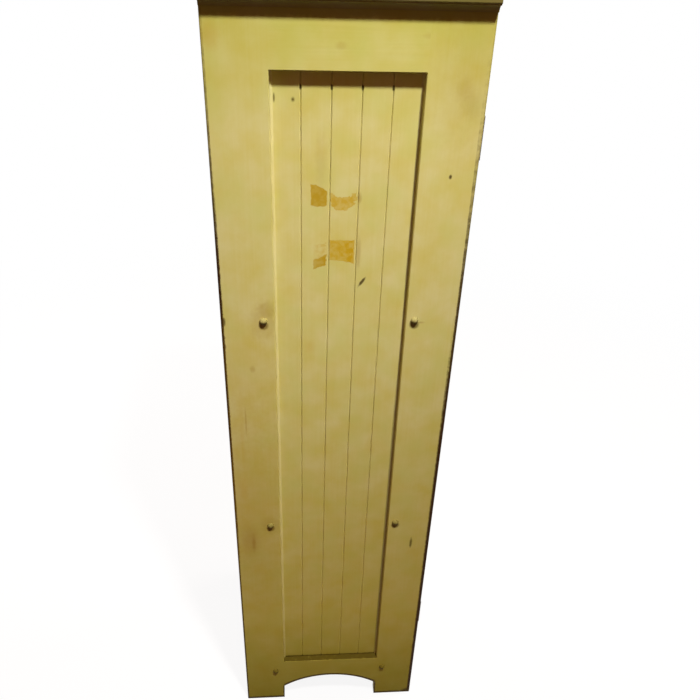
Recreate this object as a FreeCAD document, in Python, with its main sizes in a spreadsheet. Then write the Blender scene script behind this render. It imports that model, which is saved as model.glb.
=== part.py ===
import FreeCAD, Part
import math
import os

import Sketcher

# A tall, narrow painted cupboard: two framed sides, shelves fixed through the sides under button plugs,
# a boarded back, an overhanging top and one framed door with an inside turning bar.
# Every face is built in its own frame: x runs right as seen from outside, y runs inwards, z is up.

# Driving dimensions, in millimetres.
SIZES = {
    "case_width": 457,
    "case_depth": 457,
    "case_height": 1810,
    # top board, its mouldings and the cleats that hold it
    "top_thick": 20,
    "top_overhang": 17,
    "top_round": 3,
    "cove_size": 13.5,
    "cove_lip": 2,
    "cleat_size": 20,
    # framed sides
    "side_thick": 25,
    "stile_width": 102.5,
    "top_rail_height": 105.5,
    "panel_bottom": 165,
    "arch_start_height": 53,
    "arch_rise": 44,
    "corner_round": 2.5,
    "arris_cut": 1.2,
    # tenons of the rails, and the short ones of the front rails
    "tenon_set_in": 4,
    "tenon_thick": 8,
    "tenon_shoulder": 9,
    "side_tenon_long": 40,
    "door_tenon_long": 32,
    "stub_long": 10,
    "tenon_slack": 1,
    # tongued boards of the panels and the back
    "board_thick": 10,
    "board_lap": 12,
    "board_gap": 0.6,
    "board_bevel": 1.5,
    "board_end_slack": 0.5,
    "tongue_thick": 3,
    "tongue_long": 5,
    "tongue_slack": 0.2,
    # shelves and the button plugs over their fixings
    "shelf_thick": 20,
    "bottom_shelf_mid": 124.5,
    "lower_shelf_mid": 690,
    "upper_shelf_mid": 1243.5,
    "rear_plug_inset": 80.5,
    "front_plug_inset": 86,
    "plug_radius": 7.5,
    "plug_rise": 6.6,
    "plug_shank_radius": 6,
    "plug_shank_long": 7,
    # front: header rail, apron and door
    "door_thick": 22,
    "door_gap": 2,
    "header_height": 28,
    "door_bottom_rail": 104,
    "shelf_setback": 1.5,
    # butt hinges, let in flush
    "hinge_height": 76,
    "hinge_inset": 150,
    "leaf_thick": 2,
    "leaf_width": 22,
    "knuckle_radius": 3.5,
    "knuckle_clear": 0.3,
    "pin_radius": 1.75,
    "pin_fit": 0.05,
    "pin_head_radius": 2.6,
    "pin_head_high": 2,
    # knob, spindle, turning bar and keeper
    "knob_height": 960,
    "knob_projection": 36,
    "knob_radius": 18,
    "knob_end_radius": 16.5,
    "knob_end_bevel": 1.5,
    "knob_rim": 5,
    "knob_flare": 7,
    "knob_neck_radius": 11,
    "knob_socket": 16,
    "spindle_radius": 5,
    "spindle_fit": 0.1,
    "bar_boss_radius": 12,
    "bar_boss_long": 12.5,
    "bar_thick": 9,
    "bar_width": 20,
    "bar_reach": 36,
    "bar_round": 6,
    "bar_clear": 0.5,
    "keeper_width": 14,
    "keeper_thick": 10,
    "keeper_height": 60,
    "keeper_clear": 1.5,
}

BOARDS = 5
BACK_BOARDS = 4
KNUCKLES = 3
SHANK_SIDES = 8
ROOT_TWO = math.sqrt(2)
EIGHTH_TURN = 45
QUARTER_TURN = 90
FULL_TURN = 360
TOLERANCE = 1e-4


class Size:
    """A length that knows both its value and the formula that binds it to the sheet."""

    def __init__(self, value, formula):
        self.value = value
        self.formula = formula

    def joined(self, sign, other, value):
        text = other.formula if isinstance(other, Size) else repr(other)
        return Size(value, f"({self.formula} {sign} {text})")

    def __add__(self, other):
        return self.joined("+", other, self.value + number(other))

    def __sub__(self, other):
        return self.joined("-", other, self.value - number(other))

    def __mul__(self, other):
        return self.joined("*", other, self.value * number(other))

    def __truediv__(self, other):
        return self.joined("/", other, self.value / number(other))

    def __neg__(self):
        return self * -1


def number(quantity):
    """The plain value of a Size or of a bare count."""
    return quantity.value if isinstance(quantity, Size) else quantity


class Sizes:
    """Every driving dimension as a Size."""

    def __init__(self):
        for name, value in SIZES.items():
            setattr(self, name, Size(value, f"Sizes.{name}"))


doc = FreeCAD.newDocument("bonnetiere")
s = Sizes()
ZERO = Size(0, "0")
RIGHTWARDS = FreeCAD.Vector(1, 0, 0)
INWARDS = FreeCAD.Vector(0, 1, 0)
UP = FreeCAD.Vector(0, 0, 1)
nodes = []


def make_sheet():
    sheet = doc.addObject("Spreadsheet::Sheet", "Sizes")
    for row, (name, value) in enumerate(SIZES.items(), 1):
        sheet.set(f"A{row}", name)
        sheet.set(f"B{row}", str(value))
        sheet.setAlias(f"B{row}", name)
    doc.recompute()


# Levels and places worked out from the driving dimensions.
half = s.case_width / 2
reach_out = s.knob_projection + s.bar_clear
front = (reach_out - s.case_depth) / 2
back = (reach_out + s.case_depth) / 2
inner = s.case_width - s.side_thick * 2
panel_top = s.case_height - s.top_rail_height
opening = s.case_depth - s.stile_width * 2
recess = s.side_thick - s.board_thick
arch_radius = (opening * opening / 4 + s.arch_rise * s.arch_rise) / (s.arch_rise * 2)
arch_centre = s.arch_start_height + s.arch_rise - arch_radius
shelf_mids = {"bottom": s.bottom_shelf_mid, "lower": s.lower_shelf_mid, "upper": s.upper_shelf_mid}
floor_of_case = s.bottom_shelf_mid + s.shelf_thick / 2
door_stile = s.stile_width - s.side_thick - s.door_gap
door_bottom = floor_of_case + s.door_gap
door_top = s.case_height - s.header_height - s.door_gap
door_panel_bottom = door_bottom + s.door_bottom_rail
hinge_lows = {"upper": door_top - s.hinge_inset - s.hinge_height, "lower": door_bottom + s.hinge_inset}
hinge_out = s.knuckle_radius + s.knuckle_clear
leaf_end = s.leaf_width - hinge_out


class Face:
    """Where a face's own frame stands: its corner and its turn about the upright axis, in quarter turns."""

    def __init__(self, x, y, quarter_turns):
        self.x = x
        self.y = y
        self.quarter_turns = quarter_turns


LEFT = Face(-half, back, -1)
RIGHT = Face(half, front, 1)
FRONT = Face(-half, front, 0)
REAR = Face(half, back, 2)
WORLD = Face(ZERO, ZERO, 0)


def bind(feature, prop, size):
    feature.setExpression(prop, size.formula)


def bind_base(feature, x, y, z):
    bind(feature, "Placement.Base.x", x)
    bind(feature, "Placement.Base.y", y)
    bind(feature, "Placement.Base.z", z)


def body_on(face, name, is_node=True):
    """An empty body in a face's frame."""
    body = doc.addObject("PartDesign::Body", name)
    body.Label = name
    turn = FreeCAD.Rotation(UP, QUARTER_TURN * face.quarter_turns)
    body.Placement = FreeCAD.Placement(FreeCAD.Vector(), turn)
    bind_base(body, face.x, face.y, ZERO)
    if is_node:
        nodes.append(body)
    return body


def block(body, x, y, z, cut=False, turn=None):
    """Adds or cuts a block given by its ranges; a turned one pivots about its low corner."""
    kind = "SubtractiveBox" if cut else "AdditiveBox"
    feature = body.newObject(f"PartDesign::{kind}", "Block")
    if turn:
        feature.Placement = FreeCAD.Placement(FreeCAD.Vector(), turn)
    bind(feature, "Length", x[1] - x[0])
    bind(feature, "Width", y[1] - y[0])
    bind(feature, "Height", z[1] - z[0])
    bind_base(feature, x[0], y[0], z[0])


ALONG = {
    "x": FreeCAD.Rotation(UP, RIGHTWARDS),
    "y": FreeCAD.Rotation(UP, INWARDS),
    "z": FreeCAD.Rotation(),
}


def rod(body, axis, start, radius, length, cut=False, sides=None):
    """Adds or cuts a round or many-sided rod that runs along an axis from its start."""
    mode = "Subtractive" if cut else "Additive"
    form = "Prism" if sides else "Cylinder"
    feature = body.newObject(f"PartDesign::{mode}{form}", "Rod")
    feature.Placement = FreeCAD.Placement(FreeCAD.Vector(), ALONG[axis])
    if sides:
        feature.Polygon = sides
    bind(feature, "Circumradius" if sides else "Radius", radius)
    bind(feature, "Height", length)
    bind_base(feature, *start)


def ease_upright(body, x, z):
    """Takes the sharp arris off an upright edge of the show face, between two heights."""
    turn = FreeCAD.Rotation(UP, EIGHTH_TURN)
    side = s.arris_cut * ROOT_TWO
    block(body, (x, x + side), (-s.arris_cut, side - s.arris_cut), z, cut=True, turn=turn)


def ease_level(body, x, z):
    """Takes the sharp arris off a level edge of the show face."""
    turn = FreeCAD.Rotation(RIGHTWARDS, EIGHTH_TURN)
    side = s.arris_cut * ROOT_TWO
    block(body, x, (ZERO, side), (z - s.arris_cut, z - s.arris_cut + side), cut=True, turn=turn)


def round_edges(body, radius, chosen):
    """Rounds the edges of the body so far that the test picks."""
    doc.recompute()
    base = body.Tip
    edges = [f"Edge{i}" for i, edge in enumerate(base.Shape.Edges, 1) if chosen(edge)]
    fillet = body.newObject("PartDesign::Fillet", "Round")
    fillet.Base = (base, edges)
    bind(fillet, "Radius", radius)


def round_corner(body, x):
    """Rounds the upright outer corner of a stile's show face."""

    def chosen(edge):
        middle = edge.CenterOfMass
        return abs(middle.x - x.value) < TOLERANCE and abs(middle.y) < TOLERANCE

    round_edges(body, s.corner_round, chosen)


# Sketched profiles

def origin_plane(body, role):
    return next(f for f in body.Origin.OriginFeatures if f.Role == role)


def arc_between(start, end, radius, centre_side):
    """The short arc between two points, its centre to the left (1) or right (-1) of the way."""
    chord = end - start
    rise = math.sqrt(radius ** 2 - (chord.Length / 2) ** 2)
    leftwards = FreeCAD.Vector(-chord.y, chord.x, 0).normalize()
    centre = (start + end) / 2 + leftwards * (rise * centre_side)
    first, last = (start, end) if centre_side > 0 else (end, start)
    angles = [math.atan2(p.y - centre.y, p.x - centre.x) for p in (first, last)]
    circle = Part.Circle(centre, UP, radius)
    return Part.ArcOfCircle(circle, *angles)


def sketch_outline(body, role, corners):
    """A closed, fully bound outline of (x, y) corners; (x, y, radius, side) reaches its corner by an arc."""
    sketch = body.newObject("Sketcher::SketchObject", "Outline")
    sketch.AttachmentSupport = (origin_plane(body, role), [""])
    sketch.MapMode = "FlatFace"
    count = len(corners)
    points = [FreeCAD.Vector(c[0].value, c[1].value, 0) for c in corners]
    starts = []
    for i in range(count):
        following = corners[(i + 1) % count]
        ends = points[i], points[(i + 1) % count]
        if len(following) == 2:
            sketch.addGeometry(Part.LineSegment(*ends), False)
            starts.append(1)
        else:
            radius, centre_side = following[2:]
            sketch.addGeometry(arc_between(*ends, radius.value, centre_side), False)
            starts.append(1 if centre_side > 0 else 2)
            place = sketch.addConstraint(Sketcher.Constraint("Radius", i, radius.value))
            sketch.setExpression(f"Constraints[{place}]", radius.formula)
    for i in range(count):
        before = (i - 1) % count
        sketch.addConstraint(Sketcher.Constraint("Coincident", before, 3 - starts[before], i, starts[i]))
        for axis, kind, size in ((-2, "DistanceX", corners[i][0]), (-1, "DistanceY", corners[i][1])):
            if size is ZERO:
                sketch.addConstraint(Sketcher.Constraint("PointOnObject", i, starts[i], axis))
                continue
            place = sketch.addConstraint(Sketcher.Constraint(kind, -1, 1, i, starts[i], size.value))
            sketch.setExpression(f"Constraints[{place}]", size.formula)
    return sketch


def pad(body, role, corners, length):
    feature = body.newObject("PartDesign::Pad", "Pad")
    feature.Profile = sketch_outline(body, role, corners)
    bind(feature, "Length", length)


def turned(body, corners):
    """A solid of revolution about the body's own z axis from corners of (radius, height)."""
    sketch = sketch_outline(body, "XZ_Plane", corners)
    feature = body.newObject("PartDesign::Revolution", "Turned")
    feature.Profile = sketch
    feature.ReferenceAxis = (sketch, ["V_Axis"])
    feature.Angle = FULL_TURN


def turned_at(name, corners, place, pointing, is_node=False):
    """A turned piece whose own z axis points along a direction from a place."""
    body = body_on(WORLD, name, is_node)
    turn = FreeCAD.Rotation(UP, pointing)
    body.Placement = FreeCAD.Placement(FreeCAD.Vector(), turn)
    bind_base(body, *place)
    turned(body, corners)
    return body


def group(name, members):
    """One node made of several like solids."""
    compound = doc.addObject("Part::Compound", name)
    compound.Label = name
    compound.Links = members
    nodes.append(compound)


# Tongued boards

def board_outline(width, thick, bevel, has_tongue, has_groove):
    """Section of one board, show face on y = 0: V edges, a tongue on the right, a groove on the left."""
    tongue_low = (thick - s.tongue_thick) / 2
    tongue_high = tongue_low + s.tongue_thick
    corners = [(bevel, ZERO), (width - bevel, ZERO), (width, bevel)]
    if has_tongue:
        tip = width + s.tongue_long
        corners += [(width, tongue_low), (tip, tongue_low), (tip, tongue_high), (width, tongue_high)]
    corners += [(width, thick), (ZERO, thick)]
    if has_groove:
        low = tongue_low - s.tongue_slack
        high = tongue_high + s.tongue_slack
        corners += [(ZERO, high), (s.tongue_long, high), (s.tongue_long, low), (ZERO, low)]
    corners.append((ZERO, bevel))
    return corners


def shift_in_face(body, face, x, y, z):
    """Moves a body to a place of its face's frame."""
    turn_cosine = round(math.cos(math.pi / 2 * face.quarter_turns))
    turn_sine = round(math.sin(math.pi / 2 * face.quarter_turns))
    bind_base(body, face.x + x * turn_cosine - y * turn_sine, face.y + x * turn_sine + y * turn_cosine, z)


def tongued_boards(prefix, face, count, x, depth, z):
    """Boards side by side from x[0] to x[1], hidden edges under the frame's laps, show face at a depth."""
    pitch = (x[1] - x[0]) / count
    for i in range(count):
        is_first = i == 0
        is_last = i == count - 1
        low = x[0] + pitch * i + s.board_gap / 2
        high = x[0] + pitch * (i + 1) - s.board_gap / 2
        if is_first:
            low = x[0] - s.board_lap + s.board_end_slack
        if is_last:
            high = x[1] + s.board_lap - s.board_end_slack
        body = body_on(face, f"{prefix}_board_{i + 1}")
        shift_in_face(body, face, low, depth, z[0] + s.board_end_slack)
        outline = board_outline(high - low, s.board_thick, s.board_bevel, not is_last, not is_first)
        pad(body, "XY_Plane", outline, z[1] - z[0] - s.board_end_slack * 2)


# Framed panels: two stiles and two tenoned rails round the boards

def tenon_range(low, high):
    return (low + s.tenon_shoulder, high - s.tenon_shoulder)


TENON_Y = (s.tenon_set_in, s.tenon_set_in + s.tenon_thick)


def framed_stile(name, face, x, z, panel_on_right, thick, panel_z, tenon_zs, tenon_long):
    """A stile with the rebate for the boards and the mortises for both rails."""
    body = body_on(face, name)
    block(body, x, (ZERO, thick), z)
    outer = x[0] if panel_on_right else x[1]
    edge = x[1] if panel_on_right else x[0]
    round_corner(body, outer)
    lap = (edge - s.board_lap, edge) if panel_on_right else (edge, edge + s.board_lap)
    boards_z = (panel_z[0] - s.board_lap, panel_z[1] + s.board_lap)
    block(body, lap, (thick - s.board_thick, thick), boards_z, cut=True)
    deep = tenon_long + s.tenon_slack
    mortise = (edge - deep, edge) if panel_on_right else (edge, edge + deep)
    for tenon_z in tenon_zs:
        block(body, mortise, TENON_Y, tenon_z, cut=True)
    ease_upright(body, edge, panel_z)
    return body


def framed_rail(name, face, x, z, thick, boards_above, tenon_z, tenon_long):
    """A rail with a tenon at each end and the rebate for the boards' ends."""
    body = body_on(face, name)
    block(body, x, (ZERO, thick), z)
    block(body, (x[0] - tenon_long, x[1] + tenon_long), TENON_Y, tenon_z)
    edge = z[1] if boards_above else z[0]
    lap = (edge - s.board_lap, edge) if boards_above else (edge, edge + s.board_lap)
    block(body, x, (thick - s.board_thick, thick), lap, cut=True)
    ease_level(body, x, edge)
    return body


def arch_cut(body, x, thick):
    """Cuts the segmental arch between two uprights out of a rail, through its thickness."""
    middle = (x[0] + x[1]) / 2
    rod(body, "y", (middle, ZERO, arch_centre), arch_radius, thick, cut=True)


# Framed sides

def plug_places(is_left):
    """Where the buttons sit along a side's x, each with the stile that it is on."""
    rear = s.rear_plug_inset if is_left else s.case_depth - s.rear_plug_inset
    front_x = s.case_depth - s.front_plug_inset if is_left else s.front_plug_inset
    return {"rear": rear, "front": front_x}


def plug_sockets(body, x, mids):
    """Sockets in a side's show face, in line with the shelves, that hold the plugs' whittled shanks."""
    for mid in mids:
        rod(body, "y", (x, ZERO, mid), s.plug_shank_radius, s.plug_shank_long, cut=True, sides=SHANK_SIDES)


def framed_side(prefix, face):
    is_left = face is LEFT
    panel_z = (s.panel_bottom, panel_top)
    top_tenon = tenon_range(panel_top + s.board_lap, s.case_height)
    bottom_tenon = tenon_range(s.arch_start_height, s.panel_bottom - s.board_lap)
    left_x = (ZERO, s.stile_width)
    right_x = (s.case_depth - s.stile_width, s.case_depth)
    between_x = (left_x[1], right_x[0])
    plugs = plug_places(is_left)
    for end in ("rear", "front"):
        on_left = (end == "rear") == is_left
        x = left_x if on_left else right_x
        body = framed_stile(f"{prefix}_{end}_stile", face, x, (ZERO, s.case_height), on_left, s.side_thick,
                            panel_z, (bottom_tenon, top_tenon), s.side_tenon_long)
        plug_sockets(body, plugs[end], shelf_mids.values())
        if end == "rear":
            rebate_for_back(body, on_left)
        else:
            front_stile_mortises(body, on_left)
            if is_left:
                hinge_recesses(body)
    framed_rail(f"{prefix}_top_rail", face, between_x, (panel_top, s.case_height), s.side_thick, False,
                top_tenon, s.side_tenon_long)
    rail = framed_rail(f"{prefix}_bottom_rail", face, between_x, (s.arch_start_height, s.panel_bottom),
                       s.side_thick, True, bottom_tenon, s.side_tenon_long)
    arch_cut(rail, between_x, s.side_thick)
    for x in plugs.values():
        plug_sockets(rail, x, [s.bottom_shelf_mid])
    boards_z = (s.panel_bottom - s.board_lap, panel_top + s.board_lap)
    tongued_boards(prefix, face, BOARDS, between_x, recess, boards_z)


def rebate_for_back(body, on_left):
    x = (ZERO, s.board_thick) if on_left else (s.case_depth - s.board_thick, s.case_depth)
    y = (s.side_thick - s.board_lap, s.side_thick)
    block(body, x, y, (s.bottom_shelf_mid - s.shelf_thick / 2, s.case_height), cut=True)


def from_front(on_left, near, far):
    """A range along a side's x, measured back from the front of the cabinet."""
    return (near, far) if on_left else (s.case_depth - far, s.case_depth - near)


def stub_z_ranges():
    """Heights of the short tenons of the header rail and of the apron."""
    header = (s.case_height - s.header_height + s.tenon_shoulder, s.case_height - s.tenon_shoulder)
    apron = tenon_range(s.arch_start_height, floor_of_case)
    return header, apron


def front_stile_mortises(body, on_left):
    x = from_front(on_left, *TENON_Y)
    y = (s.side_thick - s.stub_long - s.tenon_slack, s.side_thick)
    for z in stub_z_ranges():
        block(body, x, y, z, cut=True)


# Shelves, back and top

def shelf(name, mid, front_edge):
    """A plain board between the sides."""
    body = body_on(WORLD, f"{name}_shelf")
    x = (-inner / 2, inner / 2)
    block(body, x, (front_edge, back - s.board_thick), (mid - s.shelf_thick / 2, mid + s.shelf_thick / 2))


def button_plug(name, place, pointing):
    """A turned, domed button on a short whittled shank."""
    dome_radius = (s.plug_radius * s.plug_radius + s.plug_rise * s.plug_rise) / (s.plug_rise * 2)
    dome = [(ZERO, ZERO), (s.plug_radius, ZERO), (ZERO, s.plug_rise, dome_radius, 1)]
    body = turned_at(name, dome, place, pointing)
    rod(body, "z", (ZERO, ZERO, -s.plug_shank_long), s.plug_shank_radius, s.plug_shank_long, sides=SHANK_SIDES)
    return body


def button_plugs(prefix, is_left):
    """The buttons over one side's shelf fixings, two for each shelf."""
    outward = -1 if is_left else 1
    plugs = []
    for level, mid in shelf_mids.items():
        for end, y in (("front", front + s.front_plug_inset), ("rear", back - s.rear_plug_inset)):
            name = f"{prefix}_{level}_{end}_plug"
            plugs.append(button_plug(name, (half * outward, y, mid), RIGHTWARDS * outward))
    group(f"{prefix}_button_plugs", plugs)


def back_boards():
    x = (s.side_thick, s.case_width - s.side_thick)
    z = (s.bottom_shelf_mid - s.shelf_thick / 2, s.case_height)
    tongued_boards("back", REAR, BACK_BOARDS, x, ZERO, z)


def top():
    body = body_on(WORLD, "top_board")
    x = (-half - s.top_overhang, half + s.top_overhang)
    low = s.case_height
    block(body, x, (front, back), (low, low + s.top_thick))

    def exposed(edge):
        middle = edge.CenterOfMass
        upper = abs(middle.z - (low + s.top_thick).value) < TOLERANCE
        lower_end = abs(middle.z - low.value) < TOLERANCE and abs(abs(middle.x) - x[1].value) < TOLERANCE
        return upper or lower_end

    round_edges(body, s.top_round, exposed)
    for name, side in (("left", -1), ("right", 1)):
        cove(f"{name}_cove_moulding", side)
        cleat(f"{name}_top_cleat", side)


def cove(name, side):
    """A hollow moulding under the top's overhang, as long as the side."""
    size = s.cove_size
    hollow = size - s.cove_lip
    corners = [(ZERO, ZERO), (s.cove_lip, ZERO), (size, hollow, hollow, -1), (size, size), (ZERO, size)]
    corner = Face(half, back, 0) if side > 0 else Face(-half, front, 2)
    body = body_on(corner, name)
    bind(body, "Placement.Base.z", s.case_height - size)
    pad(body, "XZ_Plane", corners, s.case_depth)


def cleat(name, side):
    """A batten inside the top of a side, which holds the top board."""
    body = body_on(WORLD, name)
    face_x = (half - s.side_thick) * side
    x = (face_x, face_x + s.cleat_size) if side < 0 else (face_x - s.cleat_size, face_x)
    y = (front + s.door_thick, back - s.board_thick)
    block(body, x, y, (s.case_height - s.cleat_size, s.case_height))


# Front: header rail, apron and door

def front_rails():
    header_z, apron_z = stub_z_ranges()
    x = (s.side_thick, s.case_width - s.side_thick)
    stub_x = (x[0] - s.stub_long, x[1] + s.stub_long)
    header = body_on(FRONT, "front_header_rail")
    block(header, x, (ZERO, s.door_thick), (s.case_height - s.header_height, s.case_height))
    block(header, stub_x, TENON_Y, header_z)
    apron = body_on(FRONT, "front_apron")
    arch_x = (s.stile_width, s.case_width - s.stile_width)
    block(apron, x, (ZERO, s.door_thick), (s.arch_start_height, floor_of_case))
    block(apron, stub_x, TENON_Y, apron_z)
    arch_cut(apron, arch_x, s.door_thick)
    for foot_x in ((x[0], arch_x[0]), (arch_x[1], x[1])):
        block(apron, foot_x, (ZERO, s.door_thick), (ZERO, s.arch_start_height))


def door():
    low_x = s.side_thick + s.door_gap
    high_x = s.case_width - s.side_thick - s.door_gap
    between_x = (low_x + door_stile, high_x - door_stile)
    panel_z = (door_panel_bottom, panel_top)
    top_tenon = tenon_range(panel_top + s.board_lap, door_top)
    bottom_tenon = tenon_range(door_bottom, door_panel_bottom - s.board_lap)
    tenons = (bottom_tenon, top_tenon)
    z = (door_bottom, door_top)
    hinge_stile = framed_stile("door_hinge_stile", FRONT, (low_x, between_x[0]), z, True, s.door_thick,
                               panel_z, tenons, s.door_tenon_long)
    for low in hinge_lows.values():
        leaf_z = (low, low + s.hinge_height)
        block(hinge_stile, (low_x, low_x + s.leaf_thick), (ZERO, leaf_end), leaf_z, cut=True)
    latch_stile = framed_stile("door_latch_stile", FRONT, (between_x[1], high_x), z, False, s.door_thick,
                               panel_z, tenons, s.door_tenon_long)
    bore = (high_x - door_stile / 2, ZERO, s.knob_height)
    rod(latch_stile, "y", bore, s.spindle_radius + s.spindle_fit, s.door_thick, cut=True)
    framed_rail("door_top_rail", FRONT, between_x, (panel_top, door_top), s.door_thick, False, top_tenon,
                s.door_tenon_long)
    framed_rail("door_bottom_rail", FRONT, between_x, (door_bottom, door_panel_bottom), s.door_thick, True,
                bottom_tenon, s.door_tenon_long)
    boards_z = (panel_z[0] - s.board_lap, panel_z[1] + s.board_lap)
    tongued_boards("door", FRONT, BOARDS, between_x, s.door_thick - s.board_thick, boards_z)


# Hinges, in the front's frame: the pin stands in front of the seam between the left side and the door

pin_x = s.side_thick + s.door_gap / 2
pin_y = -hinge_out


def hinge_recesses(body):
    """The let-in places of both case leaves, in the left front stile's own frame."""
    x = from_front(False, ZERO, leaf_end)
    y = (s.side_thick - s.leaf_thick, s.side_thick)
    for low in hinge_lows.values():
        block(body, x, y, (low, low + s.hinge_height), cut=True)


def hinge_leaf(name, low, is_door):
    """A leaf with its knuckles: the door's leaf has the middle one, the case's leaf the outer two."""
    body = body_on(FRONT, name)
    face_x = s.side_thick + s.door_gap if is_door else s.side_thick
    x = (face_x, face_x + s.leaf_thick) if is_door else (face_x - s.leaf_thick, face_x)
    z = (low, low + s.hinge_height)
    block(body, x, (pin_y, leaf_end), z)
    pitch = s.hinge_height / KNUCKLES
    for i in range(KNUCKLES):
        own = (i % 2 == 1) == is_door
        if not own:
            notch_z = (low + pitch * i - s.knuckle_clear, low + pitch * (i + 1) + s.knuckle_clear)
            block(body, x, (pin_y, pin_y + hinge_out), notch_z, cut=True)
    for i in range(KNUCKLES):
        own = (i % 2 == 1) == is_door
        if own:
            rod(body, "z", (pin_x, pin_y, low + pitch * i), s.knuckle_radius, pitch)
    bore = s.pin_radius + s.pin_fit if is_door else s.pin_radius
    rod(body, "z", (pin_x, pin_y, low), bore, s.hinge_height, cut=True)


def hinges():
    pin_end = s.hinge_height + s.pin_head_high
    pin = [(ZERO, ZERO), (s.pin_radius, ZERO), (s.pin_radius, s.hinge_height),
           (s.pin_head_radius, s.hinge_height), (s.pin_head_radius, pin_end), (ZERO, pin_end)]
    for name, low in hinge_lows.items():
        hinge_leaf(f"{name}_hinge_case_leaf", low, False)
        hinge_leaf(f"{name}_hinge_door_leaf", low, True)
        turned_at(f"{name}_hinge_pin", pin, (FRONT.x + pin_x, FRONT.y + pin_y, low), UP, True)


# Latch: knob, spindle and turning bar move together, and the bar turns behind the keeper

def latch():
    x = half - s.side_thick - s.door_gap - door_stile / 2
    z = s.knob_height
    shoulder = s.knob_projection - s.knob_end_bevel
    rim = shoulder - s.knob_rim
    waist = rim - s.knob_flare
    knob = [(s.spindle_radius, ZERO), (s.knob_neck_radius, ZERO), (s.knob_neck_radius, waist),
            (s.knob_radius, rim), (s.knob_radius, shoulder), (s.knob_end_radius, s.knob_projection),
            (ZERO, s.knob_projection), (ZERO, s.knob_socket), (s.spindle_radius, s.knob_socket)]
    turned_at("latch_knob", knob, (x, front - s.bar_clear, z), INWARDS * -1, True)
    bar_back = front + s.door_thick + s.bar_clear + s.bar_boss_long + s.bar_thick
    spindle_start = front - s.bar_clear - s.knob_socket
    spindle = body_on(WORLD, "latch_spindle")
    spindle_long = bar_back - s.bar_thick / 2 - spindle_start
    rod(spindle, "y", (x, spindle_start, z), s.spindle_radius, spindle_long)
    turning_bar(x, z, bar_back)
    keeper = body_on(WORLD, "latch_keeper")
    face_x = half - s.side_thick
    low_y = front + s.door_thick + s.keeper_clear
    keeper_z = (z - s.keeper_height / 2, z + s.keeper_height / 2)
    block(keeper, (face_x - s.keeper_width, face_x), (low_y, low_y + s.keeper_thick), keeper_z)


def turning_bar(x, z, bar_back):
    """The bar hangs straight down, clear of the keeper, with a boss that holds it off the door."""
    body = body_on(WORLD, "latch_bar")
    bar_y = (bar_back - s.bar_thick, bar_back)
    block(body, (x - s.bar_width / 2, x + s.bar_width / 2), bar_y, (z - s.bar_reach, z + s.bar_width / 2))

    def corner(edge):
        return abs(edge.CenterOfMass.y - (bar_back - s.bar_thick / 2).value) < TOLERANCE

    round_edges(body, s.bar_round, corner)
    boss_y = bar_y[0] - s.bar_boss_long
    rod(body, "y", (x, boss_y, z), s.bar_boss_radius, s.bar_boss_long)
    rod(body, "y", (x, boss_y, z), s.spindle_radius, s.bar_boss_long + s.bar_thick / 2, cut=True)


def build():
    make_sheet()
    framed_side("left", LEFT)
    framed_side("right", RIGHT)
    shelf("bottom", s.bottom_shelf_mid, front + s.door_thick)
    shelf("lower", s.lower_shelf_mid, front + s.door_thick + s.shelf_setback)
    shelf("upper", s.upper_shelf_mid, front + s.door_thick + s.shelf_setback)
    back_boards()
    top()
    front_rails()
    door()
    hinges()
    latch()
    button_plugs("left", True)
    button_plugs("right", False)
    doc.recompute()


def write_parts():
    """Stops on any failed object, then writes one file for each node."""
    failed = [o.Label for o in doc.Objects if "Invalid" in o.State or "Error" in o.State]
    unsound = [n.Label for n in nodes if n.Shape.isNull() or not n.Shape.isValid() or not n.Shape.Solids]
    if failed or unsound:
        raise RuntimeError(f"failed: {failed}, unsound: {unsound}")
    os.makedirs("parts", exist_ok=True)
    for node in nodes:
        node.Shape.exportStep(f"parts/{node.Label}.step")
    print(len(nodes), "nodes written")


build()
write_parts()
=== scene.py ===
"""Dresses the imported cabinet: aged paint, bare pine, iron, small fixings, floor, light and camera.

The file is laid out as an add-on and is run as a script. Lengths are metres, and names in _mm millimetres.
"""
import math
from collections import namedtuple

import bpy
import numpy as np
from bpy.props import FloatProperty, FloatVectorProperty, IntProperty, PointerProperty
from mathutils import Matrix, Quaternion, Vector


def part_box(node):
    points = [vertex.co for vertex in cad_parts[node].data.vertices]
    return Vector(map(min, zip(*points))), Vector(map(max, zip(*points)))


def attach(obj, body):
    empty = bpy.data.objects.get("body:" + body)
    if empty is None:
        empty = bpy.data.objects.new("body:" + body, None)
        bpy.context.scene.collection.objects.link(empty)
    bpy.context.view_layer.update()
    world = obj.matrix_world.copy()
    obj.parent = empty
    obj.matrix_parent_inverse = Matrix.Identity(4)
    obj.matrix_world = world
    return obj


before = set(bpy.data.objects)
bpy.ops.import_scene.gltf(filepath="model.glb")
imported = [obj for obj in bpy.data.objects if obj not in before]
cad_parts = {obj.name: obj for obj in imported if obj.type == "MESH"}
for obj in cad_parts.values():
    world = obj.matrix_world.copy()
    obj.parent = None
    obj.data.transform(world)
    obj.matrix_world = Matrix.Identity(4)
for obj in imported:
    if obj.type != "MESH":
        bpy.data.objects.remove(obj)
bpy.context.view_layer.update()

bl_info = {
    "name": "Painted cabinet",
    "version": (1, 0, 0),
    "blender": (4, 5, 0),
    "location": "View3D > Sidebar > Cabinet",
    "description": "Paints and furnishes the cabinet and sets it on a pale floor",
    "category": "Object",
}

MM = 0.001
ENDLESS = 1000.0

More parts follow.
